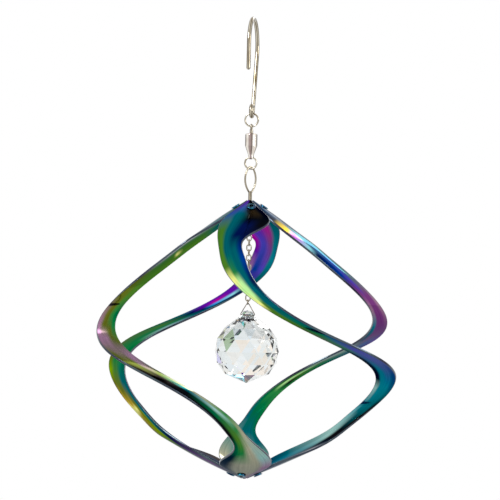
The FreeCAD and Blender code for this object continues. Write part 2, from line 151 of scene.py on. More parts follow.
def plated_wire(name, bright, warm, haze_size, line_size, rough_low, rough_high, relief, painted=0.0):
    """A plated metal: two tones mixed by the haze, with painted mirror lines and relief from the polish."""
    finish, tree, shader = new_finish(name)
    place = add_node(tree, "ShaderNodeTexCoord")
    marks = add_node(tree, "ShaderNodeGroup", settings={"node_tree": polish_marks}, inputs={
        "Vector": place.outputs["Object"], "Haze Size": haze_size, "Line Size": line_size,
    })
    tone = add_node(tree, "ShaderNodeMix", settings={"data_type": "RGBA"}, inputs={
        0: marks.outputs["Haze"], 6: bright, 7: warm,
    })
    rough = add_node(tree, "ShaderNodeMapRange", inputs={
        "Value": marks.outputs["Haze"], "To Min": rough_low, "To Max": rough_high,
    })
    bump = add_node(tree, "ShaderNodeBump", inputs={
        "Height": marks.outputs["Lines"], "Strength": 0.35, "Distance": relief,
    })
    sides = add_node(tree, "ShaderNodeGroup", settings={"node_tree": mirror_lines}, inputs={
        "Facing": place.outputs["Normal"],
    })
    shade = add_node(tree, "ShaderNodeMix", settings=paint_over, inputs={
        0: painted, 6: tone.outputs[2], 7: sides.outputs["Tone"],
    })
    tree.links.new(shade.outputs[2], shader.inputs["Base Color"])
    tree.links.new(rough.outputs["Result"], shader.inputs["Roughness"])
    tree.links.new(bump.outputs["Normal"], shader.inputs["Normal"])
    shader.inputs["Metallic"].default_value = 1.0
    return finish


def dress(names, finish):
    """Gives carried-over nodes their finish."""
    for name in names:
        mesh = nodes[name].data
        mesh.materials.clear()
        mesh.materials.append(finish)


# The hook's plating carries painted reflections: dark warm lines of the room, laid on by how far right the
# wire faces in the main view.
hook_finish = plated_wire(
    "hook_wire_plating", display(232, 228, 216), display(150, 136, 112),
    90.0, 1400.0, 0.08, 0.16, 0.00001, 0.9,
)
dress(["hook"], hook_finish)


# --------------------------------------------------- rings, swivel and its balls
# Two wire rings join the hook, the ball-bearing swivel and the hanger. The barrel
# is turned brass, nickel plated and tumbled, and closes over a headed eye shaft
# that runs on eight loose balls.
# The rings' plating carries painted reflections: dark lines of the room, laid on by how far right the wire
# faces in the main view.
ring_finish = plated_wire(
    "ring_plating", display(250, 248, 240), display(186, 176, 156),
    160.0, 3400.0, 0.06, 0.14, 0.00002, 0.9,
)
dress(["upper_ring", "lower_ring"], ring_finish)

# The eye shaft carries the same painted reflection lines over its plating.
shaft_finish = plated_wire(
    "eye_shaft_plating", display(248, 245, 238), display(180, 170, 152),
    160.0, 3000.0, 0.06, 0.16, 0.00002, 0.9,
)
dress(["swivel_eye"], shaft_finish)

ball_finish = plated_wire(
    "ball_steel", display(196, 198, 202), display(150, 152, 158),
    900.0, 4200.0, 0.04, 0.10, 0.00001,
)
dress(["swivel_balls"], ball_finish)


def turned_barrel():
    """Plated turned metal: the tool's rings are a wave along Z that lifts the surface a hair, and painted
    reflections lay dark lines and bright bands over its tone.
    """
    finish, tree, shader = new_finish("barrel_plating")
    place = add_node(tree, "ShaderNodeTexCoord")
    marks = add_node(tree, "ShaderNodeGroup", settings={"node_tree": polish_marks}, inputs={
        "Vector": place.outputs["Object"], "Haze Size": 300.0, "Line Size": 1800.0,
    })
    turning = add_node(tree, "ShaderNodeTexWave", settings={
        "wave_type": "BANDS", "bands_direction": "Z",
    }, inputs={"Vector": place.outputs["Object"], "Scale": 1100.0, "Distortion": 1.5, "Detail": 2.0})
    tone = add_node(tree, "ShaderNodeMix", settings={"data_type": "RGBA"}, inputs={
        0: marks.outputs["Haze"], 6: display(255, 253, 250), 7: display(226, 218, 212),
    })
    rough = add_node(tree, "ShaderNodeMapRange", inputs={
        "Value": marks.outputs["Haze"], "To Min": 0.08, "To Max": 0.18,
    })
    bump = add_node(tree, "ShaderNodeBump", inputs={
        "Height": turning.outputs["Fac"], "Strength": 0.08, "Distance": 0.00002,
    })
    sides = add_node(tree, "ShaderNodeGroup", settings={"node_tree": mirror_lines}, inputs={
        "Facing": place.outputs["Normal"],
    })
    # Painted reflections: dark lines of the room and bright bands, placed by how far right the surface faces
    # in the main view.
    lines = add_node(tree, "ShaderNodeValToRGB", inputs={"Fac": sides.outputs["Across"]})
    set_ramp(lines.color_ramp, [
        (0.04, display(70, 58, 44)), (0.13, display(250, 248, 240)), (0.22, display(255, 253, 248)),
        (0.32, display(176, 160, 158)), (0.48, display(164, 146, 142)), (0.56, display(84, 66, 58)),
        (0.63, display(255, 253, 248)), (0.86, display(250, 248, 240)), (0.95, display(70, 58, 44)),
    ])
    shade = add_node(tree, "ShaderNodeMix", settings=paint_over, inputs={
        0: 0.95, 6: tone.outputs[2], 7: lines.outputs["Color"],
    })
    tree.links.new(shade.outputs[2], shader.inputs["Base Color"])
    tree.links.new(rough.outputs["Result"], shader.inputs["Roughness"])
    tree.links.new(bump.outputs["Normal"], shader.inputs["Normal"])
    shader.inputs["Metallic"].default_value = 1.0
    return finish


dress(["swivel_barrel"], turned_barrel())


# ------------------------------------------------------------------- hanger
# The hanger is thin spring wire bent into a pear loop whose two ends are pressed
# into a stem. The stem goes down through the top hub, and a small eye under the
# hub carries the chain.
# The hanger's plating carries painted reflections: dark lines of the room, laid on by how far right the wire
# faces in the main view.
hanger_finish = plated_wire(
    "hanger_plating", display(230, 225, 212), display(150, 138, 116),
    140.0, 3200.0, 0.06, 0.16, 0.00002, 0.9,
)
dress(["hanger"], hanger_finish)


# -------------------------------------------------------------- twisted blades
# Each blade is a strip of stainless sheet 1 mm thick, cut with a leaf at each end, twisted
# half a turn and bowed round the cage. It is polished to a mirror and coated in a vacuum
# with a very thin clear film, whose colours run from gold through violet and teal to green.
cage_top = -0.082867
cage_height = 0.130
cage_bottom = cage_top - cage_height
cage_radius = 0.0835
band_width = 0.0118
band_bend = 0.010
widest_share = 0.538
sheet = 0.0010
rim_round = 0.00022
camber = 0.10
seam_half_gap = 0.00008
inner_edge = {
    "peak": cage_radius - band_width,
    "top_aim": 0.0058,
    "bottom_aim": 0.0134,
    "azimuth": -52.6,
    "share": 0.464,
    "sweep": 81.5,
    "over": 0.36,
}
outer_edge = {
    "peak": cage_radius,
    "top_aim": 0.0040,
    "bottom_aim": 0.0160,
    "azimuth": -42.0,
    "share": 0.507,
    "sweep": 42.8,
    "over": 0.207,
}
rivet_hole = 0.0034
rivet_distance = 0.0062
rivet_shift = 13.0
top_tip = {"apex": cage_top, "inward": -1, "azimuth": -88.0, "slope": 41.0}
bottom_tip = {"apex": cage_bottom, "inward": 1, "azimuth": 10.0, "slope": 33.0}


def edge_line(edge, height):
    """A blade edge: two straight cones joined by a round bend, with its azimuth an arctangent of height."""
    level = cage_top - widest_share * cage_height
    above = height > level
    end = np.where(above, cage_top, cage_bottom)
    aim = np.where(above, edge["top_aim"], edge["bottom_aim"])
    far = edge["peak"] + band_bend
    slope = np.sqrt((far - aim) ** 2 - band_bend ** 2) / abs(end - level)
    radius = far - np.hypot(band_bend, slope * (height - level))
    centre = cage_top - cage_height * edge["share"]
    turn = np.arctan((height - centre) / (cage_height * edge["over"]))
    azimuth = np.radians(edge["azimuth"] - edge["sweep"] * turn)
    return np.stack([radius * np.cos(azimuth), radius * np.sin(azimuth), height], 1)


def tip_lines(tip, reach):
    """Both edges of a leaf: straight lines from its apex, half a seam short of 45 degrees off its middle."""
    out = reach * np.sqrt(0.5)
    half = out - seam_half_gap * np.sqrt(2)
    along = np.radians(tip["azimuth"])
    height = tip["apex"] + tip["inward"] * out * np.tan(np.radians(tip["slope"]))
    ahead = np.array([np.cos(along), np.sin(along), 0.0])
    across = np.array([-np.sin(along), np.cos(along), 0.0])
    middle = out[:, None] * ahead + height[:, None] * np.array([0.0, 0.0, 1.0])
    low = middle - half[:, None] * across
    high = middle + half[:, None] * across
    return (low, high) if tip["inward"] < 0 else (high, low)


band_inset = cage_height / 6
band_stations = 14
leaf_reach = [0.0014, 0.0075, 0.0150]
edge_lead = 0.0025


def blade_stations():
    """The first blade's two edges at its stations, from top leaf to bottom leaf, stacked as six columns."""
    reach = np.array(leaf_reach)
    top = tip_lines(top_tip, reach)
    foot = tip_lines(bottom_tip, reach[::-1])
    height = np.linspace(cage_top - band_inset, cage_bottom + band_inset, band_stations)
    middle = (cage_top + cage_bottom) / 2
    lead = edge_lead * np.sin(2 * np.pi * (height - middle) / cage_height)
    inner = np.concatenate([top[0], edge_line(inner_edge, height - lead), foot[0]])
    outer = np.concatenate([top[1], edge_line(outer_edge, height + lead), foot[1]])
    return np.concatenate([inner, outer], 1)


def smooth_through(points, count):
    """A natural cubic spline through the points, spaced by their distances, read at even steps."""
    step = np.linalg.norm(np.diff(points, axis=0), axis=1)
    at = np.concatenate([[0.0], np.cumsum(step)])
    last = len(at) - 1
    inside = np.arange(1, last)
    system = np.eye(last + 1)
    system[inside, inside - 1] = step[:-1]
    system[inside, inside] = 2 * (step[:-1] + step[1:])
    system[inside, inside + 1] = step[1:]
    slope = np.diff(points, axis=0) / step[:, None]
    wanted = np.zeros_like(points)
    wanted[1:-1] = 6 * np.diff(slope, axis=0)
    curve = np.linalg.solve(system, wanted)
    where = np.linspace(0.0, at[-1], count)
    span = np.clip(np.searchsorted(at, where) - 1, 0, last - 1)
    left = (at[span + 1] - where)[:, None]
    right = (where - at[span])[:, None]
    long = step[span][:, None]
    bent = (left ** 3 * curve[span] + right ** 3 * curve[span + 1]) / (6 * long)
    low = (points[span] / long - curve[span] * long / 6) * left
    high = (points[span + 1] / long - curve[span + 1] * long / 6) * right
    share = np.interp(where, at, np.arange(last + 1)) / last
    return bent + low + high, share


def unit(vectors):
    """Vectors along the last axis brought to length one."""
    return vectors / np.linalg.norm(vectors, axis=-1, keepdims=True)


skin_points = 25
rim_points = 3
blade_rows = 480


def blade_section():
    """The sheet's closed outline: across from 0 to 1, depth from the middle, and inset from the edge."""
    flat = np.concatenate([[0.0, 0.006], np.linspace(0.04, 0.96, skin_points - 4), [0.994, 1.0]])
    turn = np.radians(np.array([22.5, 45.0, 67.5]))
    out = sheet / 2 - rim_round + rim_round * np.cos(turn)
    inset = rim_round * (1 - np.sin(turn))
    ones = np.ones(rim_points)
    across = np.concatenate([flat, ones, ones, flat[::-1], 0 * ones, 0 * ones])
    depth = np.concatenate([
        np.full(skin_points, sheet / 2), out, -out[::-1], np.full(skin_points, -sheet / 2), -out, out[::-1],
    ])
    pull = np.concatenate([
        np.zeros(skin_points), inset, inset[::-1], np.zeros(skin_points), inset, inset[::-1],
    ])
    return across, depth, pull


def blade_mesh(name, turns):
    """A blade: the closed outline carried from tip to tip, straight across plus a shallow parabola."""
    lines, share = smooth_through(blade_stations(), blade_rows)
    inner, outer = lines[:, :3], lines[:, 3:]
    width = outer - inner
    span = np.linalg.norm(width, axis=1)
    normal = unit(np.cross(np.gradient((inner + outer) / 2, axis=0), width))
    across, depth, pull = blade_section()
    # The skins stop one rim radius inside each edge, where the rounded rim takes over.
    inset = rim_round / span[:, None]
    at_edge = np.where(across < 0.5, -1.0, 1.0)
    on_skin = abs(depth) == sheet / 2
    place = np.where(on_skin, inset + across * (1 - 2 * inset), across - at_edge * pull / span[:, None])
    bulge = camber * span[:, None] * np.cos(np.pi * share[:, None])
    rise = 4 * place * (1 - place) * bulge + depth
    points = inner[:, None] + width[:, None] * place[..., None] + normal[:, None] * rise[..., None]
    quarter = turns * np.pi / 2
    turned = points.copy()
    turned[..., 0] = points[..., 0] * np.cos(quarter) - points[..., 1] * np.sin(quarter)
    turned[..., 1] = points[..., 0] * np.sin(quarter) + points[..., 1] * np.cos(quarter)
    loop = len(across)
    row, column = np.meshgrid(np.arange(blade_rows - 1), np.arange(loop), indexing="ij")
    after = (column + 1) % loop
    quads = np.stack([
        row * loop + column, row * loop + after, (row + 1) * loop + after, (row + 1) * loop + column,
    ], -1).reshape(-1, 4)
    ends = [list(range(loop))[::-1], list(range((blade_rows - 1) * loop, blade_rows * loop))]
    mesh = bpy.data.meshes.new(name)
    mesh.from_pydata(turned.reshape(-1, 3).tolist(), [], quads.tolist() + ends)
    back_start = skin_points + 2 * rim_points
    first_skin = (column < skin_points - 1).ravel()
    second_skin = ((column >= back_start) & (column < back_start + skin_points - 1)).ravel()
    slot = np.where(first_skin, 0, np.where(second_skin, 2, 1))
    mesh.polygons.foreach_set("material_index", np.concatenate([slot, [1, 1]]).astype(np.int32))
    along = np.repeat(np.linspace(0.0, 1.0, blade_rows), loop)
    strip = np.stack([along, np.tile(across, blade_rows)], 1)
    corner = np.empty(len(mesh.loops), np.int32)
    mesh.loops.foreach_get("vertex_index", corner)
    mesh.uv_layers.new(name="strip").uv.foreach_set("vector", strip[corner].astype(np.float32).ravel())
    mesh.polygons.foreach_set("use_smooth", np.ones(len(mesh.polygons), bool))
    mesh.update()
    return mesh


def rivet_axis(tip):
    """The middle of a leaf's rivet hole and its outward direction, on the leaf's cambered middle line."""
    flat = np.radians(tip["slope"])
    bulge = 2 * camber
    fall = np.sin(flat) - bulge * np.cos(flat) ** 2
    run = np.cos(flat) + bulge * np.sin(flat) * np.cos(flat)
    steep = np.arctan2(fall, run)
    azimuth = np.radians(tip["azimuth"] - tip["inward"] * rivet_shift)
    height = tip["apex"] + tip["inward"] * rivet_distance * np.tan(steep)
    place = np.array([rivet_distance * np.cos(azimuth), rivet_distance * np.sin(azimuth), height])
    normal = np.array([
        np.sin(steep) * np.cos(azimuth), np.sin(steep) * np.sin(azimuth), -tip["inward"] * np.cos(steep),
    ])
    return place, normal


drill_points = 48


def drill_mesh(turns):
    """Two closed round drills, one through each leaf: circles carried along the rivet axes."""
    circle = np.linspace(0.0, 2 * np.pi, drill_points, endpoint=False)
    quarter = turns * np.pi / 2
    spin = np.array([
        [np.cos(quarter), -np.sin(quarter), 0.0], [np.sin(quarter), np.cos(quarter), 0.0], [0.0, 0.0, 1.0],
    ])
    points = []
    faces = []
    for tip in (top_tip, bottom_tip):
        place, normal = rivet_axis(tip)
        side = unit(np.cross(normal, [0.0, 0.0, 1.0]))
        other = np.cross(normal, side)
        ring = rivet_hole / 2 * (np.cos(circle)[:, None] * side + np.sin(circle)[:, None] * other)
        start = len(points) * drill_points
        reach = 2 * sheet * normal
        points += [(place + ring - reach) @ spin.T, (place + ring + reach) @ spin.T]
        near = np.arange(drill_points)
        on = (near + 1) % drill_points
        far = near + drill_points
        faces += (start + np.stack([near, on, on + drill_points, far], 1)).tolist()
        faces += [(start + near[::-1]).tolist(), (start + far).tolist()]
    mesh = bpy.data.meshes.new("leaf_drills")
    mesh.from_pydata(np.concatenate(points).tolist(), [], faces)
    return mesh


def drilled_blade(name, turns, finishes):
    """A blade cut by its two drills, with the hole's edges kept crisp."""
    whole = bpy.data.objects.new(name + "_blank", blade_mesh(name + "_blank", turns))
    drill = bpy.data.objects.new(name + "_drills", drill_mesh(turns))
    for made in (whole, drill):
        bpy.context.scene.collection.objects.link(made)
    for finish in finishes:
        whole.data.materials.append(finish)
    drill.data.materials.append(finishes[1])
    cut = whole.modifiers.new("rivet_holes", "BOOLEAN")
    cut.operation = "DIFFERENCE"
    cut.solver = "EXACT"
    cut.object = drill
    seen = whole.evaluated_get(bpy.context.evaluated_depsgraph_get())
    mesh = bpy.data.meshes.new_from_object(seen)
    mesh.name = name
    mesh.set_sharp_from_angle(angle=np.radians(50))
    blade = bpy.data.objects.new(name, mesh)
    bpy.context.scene.collection.objects.link(blade)
    for spare in (whole, drill):
        bpy.data.objects.remove(spare)
    return blade


tints = {
    "black": display(12, 12, 15),
    "umber": display(46, 36, 20),
    "navy": display(18, 26, 74),
    "blue": display(26, 64, 146),
    "slate": display(66, 94, 158),
    "iris": display(84, 78, 186),
    "azure": display(70, 156, 224),
    "cyan": display(150, 222, 232),
    "teal": display(6, 94, 104),
    "lagoon": display(34, 128, 144),
    "mist": display(150, 190, 184),
    "sage": display(92, 136, 128),
    "fern": display(76, 122, 44),
    "green": display(48, 128, 66),
    "emerald": display(0, 100, 62),
    "mint": display(190, 240, 162),
    "lime": display(128, 164, 24),
    "olive": display(98, 104, 34),
    "gold": display(176, 150, 60),
    "lemon": display(246, 246, 150),
    "beige": display(168, 166, 142),
    "mauve": display(160, 122, 146),
    "plum": display(124, 66, 126),
    "magenta": display(176, 34, 150),
    "violet": display(100, 40, 160),
    "orchid": display(224, 126, 240),
}


def make_film_group():
    """A group of the film's unevenness: it shifts the place on the strip and varies the strength."""
    group = bpy.data.node_groups.new("film_drift", "ShaderNodeTree")
    face = group.interface
    face.new_socket("Strip", in_out="INPUT", socket_type="NodeSocketVector")
    face.new_socket("Shift Along", in_out="INPUT", socket_type="NodeSocketFloat")
    face.new_socket("Shift Across", in_out="INPUT", socket_type="NodeSocketFloat")
    face.new_socket("Along", in_out="OUTPUT", socket_type="NodeSocketFloat")
    face.new_socket("Across", in_out="OUTPUT", socket_type="NodeSocketFloat")
    face.new_socket("Streaks", in_out="OUTPUT", socket_type="NodeSocketFloat")
    enter = group.nodes.new("NodeGroupInput")
    leave = group.nodes.new("NodeGroupOutput")
    parts = add_node(group, "ShaderNodeSeparateXYZ", inputs={"Vector": enter.outputs["Strip"]})
    slow = add_node(group, "ShaderNodeMapping", inputs={
        "Vector": enter.outputs["Strip"], "Scale": (22.0, 1.6, 1.0),
    })
    drift = add_node(group, "ShaderNodeTexNoise", inputs={
        "Vector": slow.outputs["Vector"], "Scale": 1.0, "Detail": 2.0,
    })
    shades = add_node(group, "ShaderNodeSeparateColor", inputs={"Color": drift.outputs["Color"]})
    for part, shade, amount, result in (
        ("X", "Red", "Shift Along", "Along"), ("Y", "Green", "Shift Across", "Across"),
    ):
        centred = add_node(group, "ShaderNodeMath", settings={"operation": "SUBTRACT"}, inputs={
            0: shades.outputs[shade], 1: 0.5,
        })
        moved = add_node(group, "ShaderNodeMath", settings={"operation": "MULTIPLY_ADD"}, inputs={
            0: centred.outputs["Value"], 1: enter.outputs[amount], 2: parts.outputs[part],
        })
        group.links.new(moved.outputs["Value"], leave.inputs[result])
    stretched = add_node(group, "ShaderNodeMapping", inputs={
        "Vector": enter.outputs["Strip"], "Scale": (9.0, 26.0, 1.0),
    })
    streaks = add_node(group, "ShaderNodeTexNoise", inputs={
        "Vector": stretched.outputs["Vector"], "Scale": 1.0, "Detail": 4.0,
    })
    group.links.new(streaks.outputs["Fac"], leave.inputs["Streaks"])
    return group


film_drift = make_film_group()


def film_finish(name, inner, inner_middle, outer_middle, outer):
    """Mirror steel under the film: four runs of colour along the strip, film colours with painted
    reflections and highlights, blended from edge to edge.
    """
    finish, tree, shader = new_finish(name)
    strip = add_node(tree, "ShaderNodeUVMap", settings={"uv_map": "strip"})
    film = add_node(tree, "ShaderNodeGroup", settings={"node_tree": film_drift}, inputs={
        "Strip": strip.outputs["UV"], "Shift Along": 0.02, "Shift Across": 0.12,
    })
    colour = None
    blends = ((0.14, 0.30), (0.32, 0.60), (0.68, 0.92))
    for index, run in enumerate((inner, inner_middle, outer_middle, outer)):
        ramp = add_node(tree, "ShaderNodeValToRGB", inputs={"Fac": film.outputs["Along"]})
        set_ramp(ramp.color_ramp, [(place, tints[tint]) for place, tint in run])
        if colour is None:
            colour = ramp.outputs["Color"]
            continue
        low, high = blends[index - 1]
        edge = add_node(tree, "ShaderNodeMapRange", settings={"interpolation_type": "SMOOTHSTEP"}, inputs={
            "Value": film.outputs["Across"], "From Min": low, "From Max": high,
        })
        mixed = add_node(tree, "ShaderNodeMix", settings={"data_type": "RGBA"}, inputs={
            0: edge.outputs["Result"], 6: colour, 7: ramp.outputs["Color"],
        })
        colour = mixed.outputs[2]
    depth = add_node(tree, "ShaderNodeMapRange", inputs={
        "Value": film.outputs["Streaks"], "From Min": 0.3, "From Max": 0.7, "To Min": 0.82, "To Max": 1.18,
    })
    streaked = add_node(tree, "ShaderNodeHueSaturation", inputs={
        "Saturation": 1.05, "Value": depth.outputs["Result"], "Color": colour,
    })
    tree.links.new(streaked.outputs["Color"], shader.inputs["Base Color"])
    place = add_node(tree, "ShaderNodeTexCoord")
    marks = add_node(tree, "ShaderNodeGroup", settings={"node_tree": polish_marks}, inputs={
        "Vector": place.outputs["Object"], "Haze Size": 60.0, "Line Size": 900.0,
    })
    rough = add_node(tree, "ShaderNodeMapRange", inputs={
        "Value": marks.outputs["Haze"], "To Min": 0.05, "To Max": 0.14,
    })
    tree.links.new(rough.outputs["Result"], shader.inputs["Roughness"])
    shader.inputs["Metallic"].default_value = 1.0
    shader.inputs["Specular Tint"].default_value = (0.42, 0.46, 0.52, 1.0)
    return finish


# Besides the film's own colours, the runs hold light and dark patches that the strips
# mirror in the main view. These are painted in place and stay put as the viewer moves.
front_film = film_finish(
    "film_front_run",
    inner=[
        (0.00, "violet"), (0.05, "slate"), (0.10, "fern"), (0.20, "fern"), (0.235, "lemon"),
        (0.265, "mint"), (0.305, "lemon"), (0.33, "fern"), (0.43, "olive"), (0.47, "emerald"),
        (0.50, "black"), (0.62, "black"), (0.66, "mist"), (0.72, "lagoon"), (0.81, "mist"),
        (0.90, "teal"), (0.96, "navy"), (1.00, "black"),
    ],
    inner_middle=[
        (0.00, "violet"), (0.03, "slate"), (0.06, "teal"), (0.17, "teal"), (0.225, "green"),
        (0.25, "mint"), (0.285, "mint"), (0.31, "fern"), (0.40, "fern"), (0.47, "green"),
        (0.51, "slate"), (0.58, "lagoon"), (0.67, "lagoon"), (0.74, "teal"), (0.82, "mist"),
        (0.90, "lagoon"), (1.00, "navy"),
    ],
    outer_middle=[
        (0.00, "black"), (0.05, "umber"), (0.075, "black"), (0.10, "navy"), (0.13, "navy"),
        (0.17, "teal"), (0.32, "teal"), (0.42, "green"), (0.48, "iris"), (0.56, "slate"),
        (0.64, "lagoon"), (0.72, "teal"), (0.79, "black"), (0.88, "umber"), (1.00, "black"),
    ],
    outer=[
        (0.00, "black"), (0.10, "black"), (0.14, "navy"), (0.20, "blue"), (0.26, "navy"),
        (0.33, "teal"), (0.42, "teal"), (0.48, "iris"), (0.55, "blue"), (0.66, "teal"), (0.70, "black"),
        (0.86, "umber"), (0.95, "umber"), (1.00, "black"),
    ],
)
left_film = film_finish(
    "film_left_run",
    inner=[
        (0.00, "navy"), (0.08, "teal"), (0.12, "fern"), (0.30, "fern"), (0.37, "emerald"),
        (0.42, "green"), (0.48, "olive"), (0.54, "mauve"), (0.60, "olive"), (0.68, "beige"),
        (0.74, "green"), (0.80, "beige"), (0.88, "mist"), (0.93, "mauve"), (1.00, "mauve"),
    ],
    inner_middle=[
        (0.00, "teal"), (0.12, "fern"), (0.166, "fern"), (0.175, "lemon"), (0.184, "fern"),
        (0.30, "fern"), (0.38, "green"), (0.43, "olive"), (0.47, "olive"), (0.55, "mauve"),
        (0.60, "olive"), (0.66, "teal"), (0.72, "mist"), (0.78, "green"), (0.84, "beige"),
        (0.95, "beige"), (1.00, "mauve"),
    ],
    outer_middle=[
        (0.00, "black"), (0.10, "fern"), (0.22, "fern"), (0.34, "olive"), (0.42, "olive"),
        (0.47, "mauve"), (0.55, "olive"), (0.60, "umber"), (0.66, "black"), (0.72, "emerald"),
        (0.80, "fern"), (0.85, "green"), (0.90, "beige"), (0.96, "beige"), (1.00, "black"),
    ],
    outer=[
        (0.00, "navy"), (0.10, "olive"), (0.32, "olive"), (0.42, "mauve"), (0.48, "mauve"),
        (0.52, "olive"), (0.58, "umber"), (0.64, "black"), (0.78, "black"), (0.83, "emerald"),
        (0.86, "black"), (0.98, "black"), (1.00, "beige"),
    ],
)
back_film = film_finish(
    "film_back_run",
    inner=[
        (0.00, "navy"), (0.08, "teal"), (0.18, "lagoon"), (0.24, "teal"), (0.30, "navy"),
        (0.40, "teal"), (0.46, "mist"), (0.54, "green"), (0.62, "emerald"), (0.70, "teal"),
        (0.80, "teal"), (0.84, "navy"), (0.92, "plum"), (0.97, "black"), (1.00, "black"),
    ],
    inner_middle=[
        (0.00, "black"), (0.07, "magenta"), (0.14, "plum"), (0.22, "iris"), (0.28, "navy"),
        (0.31, "cyan"), (0.35, "azure"), (0.38, "navy"), (0.44, "green"), (0.60, "green"),
        (0.68, "teal"), (0.74, "olive"), (0.82, "lime"), (0.90, "olive"), (0.94, "black"),
        (1.00, "black"),
    ],
    outer_middle=[
        (0.00, "black"), (0.09, "violet"), (0.15, "iris"), (0.23, "blue"), (0.28, "violet"),
        (0.315, "violet"), (0.345, "magenta"), (0.37, "violet"), (0.40, "navy"), (0.46, "fern"),
        (0.60, "green"), (0.70, "olive"), (0.74, "gold"), (0.755, "lemon"), (0.77, "gold"),
        (0.84, "lime"), (0.885, "lemon"), (0.908, "mint"), (0.922, "plum"), (0.94, "black"),
    ],
    outer=[
        (0.00, "black"), (0.12, "magenta"), (0.18, "violet"), (0.24, "mauve"), (0.30, "violet"),
        (0.38, "violet"), (0.42, "teal"), (0.50, "fern"), (0.58, "olive"), (0.63, "lime"),
        (0.67, "olive"), (0.72, "gold"), (0.745, "lemon"), (0.765, "lemon"), (0.79, "gold"),
        (0.85, "lime"), (0.92, "navy"), (1.00, "black"),
    ],
)
right_film = film_finish(
    "film_right_run",
    inner=[
        (0.00, "black"), (0.07, "umber"), (0.10, "gold"), (0.115, "orchid"), (0.145, "cyan"),
        (0.165, "navy"), (0.22, "blue"), (0.28, "plum"), (0.34, "mauve"), (0.42, "lagoon"),
        (0.50, "navy"), (0.55, "fern"), (0.60, "green"), (0.66, "fern"), (0.74, "emerald"),
        (0.80, "teal"), (0.86, "sage"), (0.92, "beige"), (1.00, "plum"),
    ],
    inner_middle=[
        (0.00, "black"), (0.05, "umber"), (0.09, "umber"), (0.12, "sage"), (0.18, "slate"),
        (0.24, "iris"), (0.30, "plum"), (0.48, "plum"), (0.52, "navy"), (0.56, "green"), (0.61, "fern"),
        (0.635, "mint"), (0.69, "mint"), (0.72, "green"), (0.78, "emerald"), (0.84, "teal"),
        (0.88, "sage"), (0.94, "beige"), (1.00, "black"),
    ],
    outer_middle=[
        (0.00, "black"), (0.05, "navy"), (0.10, "black"), (0.15, "sage"), (0.22, "sage"),
        (0.30, "plum"), (0.42, "plum"), (0.47, "plum"), (0.51, "blue"), (0.55, "teal"), (0.60, "green"),
        (0.65, "fern"), (0.68, "black"), (0.71, "green"), (0.77, "emerald"), (0.83, "teal"),
        (0.89, "sage"), (0.95, "black"),
    ],
    outer=[
        (0.00, "umber"), (0.04, "sage"), (0.22, "sage"), (0.33, "mauve"), (0.45, "plum"),
        (0.50, "violet"), (0.56, "teal"), (0.62, "emerald"), (0.70, "green"), (0.80, "emerald"),
        (0.86, "teal"), (0.91, "sage"), (0.96, "plum"),
    ],
)
rim_film = plated_wire(
    "film_sheared_rim", display(84, 98, 104), display(44, 38, 62),
    60.0, 900.0, 0.14, 0.24, 0.00001,
)
outward = {1: front_film, 2: right_film, 3: front_film, 4: right_film}
inward = {1: back_film, 2: left_film, 3: back_film, 4: left_film}
for number in (1, 2, 3, 4):
    blade = drilled_blade(f"blade_{number}_strip", number - 1, [outward[number], rim_film, inward[number]])
    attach(blade, "cage")
    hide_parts(f"blade_{number}")
    # The strips are kept out of every mirror image, because the runs already paint one in.
    blade.visible_glossy = False


# ------------------------------------------------------------ hubs and rivets
# Behind each set of four leaves lies a small turned steel cone, and a tubular
# rivet holds each leaf to it. The rivets are coated with the blades, so their
# rolled rims show blue and teal rings.
hub_finish = plated_wire(
    "hub_film", display(30, 60, 120), display(60, 20, 96),
    240.0, 1500.0, 0.10, 0.22, 0.00003,
)
dress(["top_hub", "bottom_hub"], hub_finish)
rivet_finish = plated_wire(
    "rivet_film", display(30, 110, 130), display(40, 20, 70),
    520.0, 2600.0, 0.06, 0.16, 0.00002,
)
dress(["top_rivets", "bottom_rivets"], rivet_finish)


# ----------------------------------------------------------------- fine chain
# Sixteen oval links of fine plated wire, each closed round the next, hang from
# the hanger's lower eye. A small round ring ends the chain and takes the bail.
# The chain's plating carries painted reflections: dark lines of the room, laid on by how far right each link
# faces in the main view.
chain_finish = plated_wire(
    "chain_plating", display(222, 217, 206), display(140, 130, 112),
    300.0, 4200.0, 0.06, 0.16, 0.00001, 0.9,
)
dress([name for name in nodes if name.startswith("chain_link_")] + ["end_ring"], chain_finish)

bail_finish = plated_wire(
    "bail_wire", display(140, 130, 114), display(60, 50, 40),
    500.0, 4200.0, 0.12, 0.24, 0.00002,
)
dress(["bail"], bail_finish)


# -------------------------------------------------------------- crystal ball
# The ball is lead crystal, ground and polished into flat facets with a shoulder
# that rises to a small drilled knob. Clear glass splits the light, so a few facets
# flash green, gold, violet and cyan while the rest stay pale grey.
# Painted flashes: each direction was chosen for the main view and is fixed to the glass.
flash_reach = 0.978
crystal_flashes = [
    ((-0.379, -0.809, 0.45), display(116, 150, 104)), ((-0.70, -0.55, 0.45), display(150, 160, 96)),
    ((0.051, -0.967, 0.25), display(246, 226, 206)), ((0.433, -0.50, -0.75), display(74, 80, 150)),
    ((0.18, -0.495, -0.85), display(236, 176, 96)), ((-0.10, -0.30, -0.95), display(70, 176, 210)),
    ((-0.89, -0.30, -0.35), display(176, 166, 236)), ((0.93, -0.20, -0.20), display(150, 196, 232)),
]


